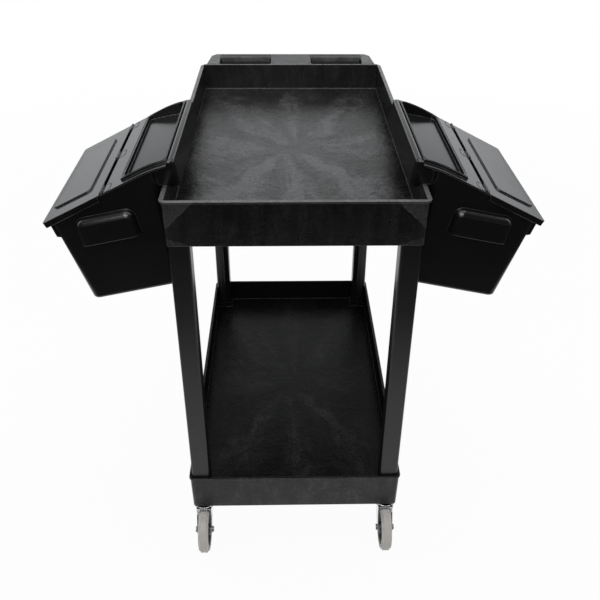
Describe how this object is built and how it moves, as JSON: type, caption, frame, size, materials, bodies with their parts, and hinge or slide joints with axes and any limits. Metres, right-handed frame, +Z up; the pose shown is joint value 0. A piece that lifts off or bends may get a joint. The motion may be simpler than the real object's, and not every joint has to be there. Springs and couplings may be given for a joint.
{
  "type": "two-shelf tub cart with hang-on lidded bins",
  "caption": "Black plastic tub cart with an upper and a lower shelf on square legs, push handle, swivel casters, and lidded bins hooked over both long rims.",
  "frame": {"origin": "on the floor, under the middle of the whole cart's box", "axes": "+Z up, +Y along the cart towards its push handle, +X to the right as seen from the front rim"},
  "size_m": [0.9052, 0.9534, 0.9156],
  "materials": {
    "cart_plastic": "moulded, slightly mottled",
    "bin_plastic": "semi-gloss",
    "zinc": "bright zinc plate",
    "wheel_plastic": "satin",
    "tread": "matt grey, non-marking"
  },
  "bodies": {
    "cart": {"top_tub": "cart_plastic", "low_tub": "cart_plastic", "leg_front_left": "cart_plastic", "caster_insert_front_left": "cart_plastic", "caster_stem_front_left": "zinc", "bearing_balls_front_left": "zinc", "leg_front_right": "cart_plastic", "caster_insert_front_right": "cart_plastic", "caster_stem_front_right": "zinc", "bearing_balls_front_right": "zinc", "leg_rear_left": "cart_plastic", "caster_insert_rear_left": "cart_plastic", "caster_stem_rear_left": "zinc", "bearing_balls_rear_left": "zinc", "leg_rear_right": "cart_plastic", "caster_insert_rear_right": "cart_plastic", "caster_stem_rear_right": "zinc", "bearing_balls_rear_right": "zinc"},
    "fork_front_left": {"caster_fork_front_left": "zinc", "axle_bolt_front_left": "zinc", "axle_nut_front_left": "zinc"},
    "wheel_front_left": {"wheel_centre_front_left": "wheel_plastic", "tyre_front_left": "tread", "axle_bush_front_left": "zinc"},
    "fork_front_right": {"caster_fork_front_right": "zinc", "axle_bolt_front_right": "zinc", "axle_nut_front_right": "zinc"},
    "wheel_front_right": {"wheel_centre_front_right": "wheel_plastic", "tyre_front_right": "tread", "axle_bush_front_right": "zinc"},
    "fork_rear_left": {"caster_fork_rear_left": "zinc", "axle_bolt_rear_left": "zinc", "axle_nut_rear_left": "zinc", "brake_pin_rear_left": "zinc"},
    "wheel_rear_left": {"wheel_centre_rear_left": "wheel_plastic", "tyre_rear_left": "tread", "axle_bush_rear_left": "zinc"},
    "brake_rear_left": {"brake_lever_rear_left": "zinc"},
    "fork_rear_right": {"caster_fork_rear_right": "zinc", "axle_bolt_rear_right": "zinc", "axle_nut_rear_right": "zinc", "brake_pin_rear_right": "zinc"},
    "wheel_rear_right": {"wheel_centre_rear_right": "wheel_plastic", "tyre_rear_right": "tread", "axle_bush_rear_right": "zinc"},
    "brake_rear_right": {"brake_lever_rear_right": "zinc"},
    "bin_left": {"bin_body_left": "bin_plastic", "bin_cover_left": "bin_plastic", "hinge_pins_left": "zinc"},
    "lid_left": {"bin_lid_left": "bin_plastic"},
    "bin_right": {"bin_body_right": "bin_plastic", "bin_cover_right": "bin_plastic", "hinge_pins_right": "zinc"},
    "lid_right": {"bin_lid_right": "bin_plastic"}
  },
  "joints": [
    {"name": "swivel_front_left", "type": "hinge", "parent": "cart", "child": "fork_front_left", "pos_m": [-0.20475, -0.39487, 0.1081], "axis": [0, 0, 1], "continuous": true},
    {"name": "roll_front_left", "type": "hinge", "parent": "fork_front_left", "child": "wheel_front_left", "pos_m": [-0.20475, -0.42588, 0.0508], "axis": [1, 0, 0], "continuous": true},
    {"name": "swivel_front_right", "type": "hinge", "parent": "cart", "child": "fork_front_right", "pos_m": [0.20475, -0.39487, 0.1081], "axis": [0, 0, 1], "continuous": true},
    {"name": "roll_front_right", "type": "hinge", "parent": "fork_front_right", "child": "wheel_front_right", "pos_m": [0.20475, -0.42588, 0.0508], "axis": [1, 0, 0], "continuous": true},
    {"name": "swivel_rear_left", "type": "hinge", "parent": "cart", "child": "fork_rear_left", "pos_m": [-0.20475, 0.37023, 0.1081], "axis": [0, 0, 1], "continuous": true},
    {"name": "roll_rear_left", "type": "hinge", "parent": "fork_rear_left", "child": "wheel_rear_left", "pos_m": [-0.20475, 0.33922, 0.0508], "axis": [1, 0, 0], "continuous": true},
    {"name": "brake_press_rear_left", "type": "hinge", "parent": "fork_rear_left", "child": "brake_rear_left", "pos_m": [-0.20475, 0.33022, 0.1062], "axis": [1, 0, 0], "range_deg": [0, 9]},
    {"name": "swivel_rear_right", "type": "hinge", "parent": "cart", "child": "fork_rear_right", "pos_m": [0.20475, 0.37023, 0.1081], "axis": [0, 0, 1], "continuous": true},
    {"name": "roll_rear_right", "type": "hinge", "parent": "fork_rear_right", "child": "wheel_rear_right", "pos_m": [0.20475, 0.33922, 0.0508], "axis": [1, 0, 0], "continuous": true},
    {"name": "brake_press_rear_right", "type": "hinge", "parent": "fork_rear_right", "child": "brake_rear_right", "pos_m": [0.20475, 0.33022, 0.1062], "axis": [1, 0, 0], "range_deg": [0, 9]},
    {"name": "bin_lift_left", "type": "slide", "parent": "cart", "child": "bin_left", "axis": [-0.2079, 0, 0.9781], "range_m": [0, 0.08]},
    {"name": "lid_swing_left", "type": "hinge", "parent": "bin_left", "child": "lid_left", "pos_m": [-0.34121, -0.18873, 0.85629], "axis": [0, 1, 0], "range_deg": [0, 165]},
    {"name": "bin_lift_right", "type": "slide", "parent": "cart", "child": "bin_right", "axis": [0.2079, 0, 0.9781], "range_m": [0, 0.08]},
    {"name": "lid_swing_right", "type": "hinge", "parent": "bin_right", "child": "lid_right", "pos_m": [0.34121, -0.18873, 0.85629], "axis": [0, -1, 0], "range_deg": [0, 165]}
  ]
}
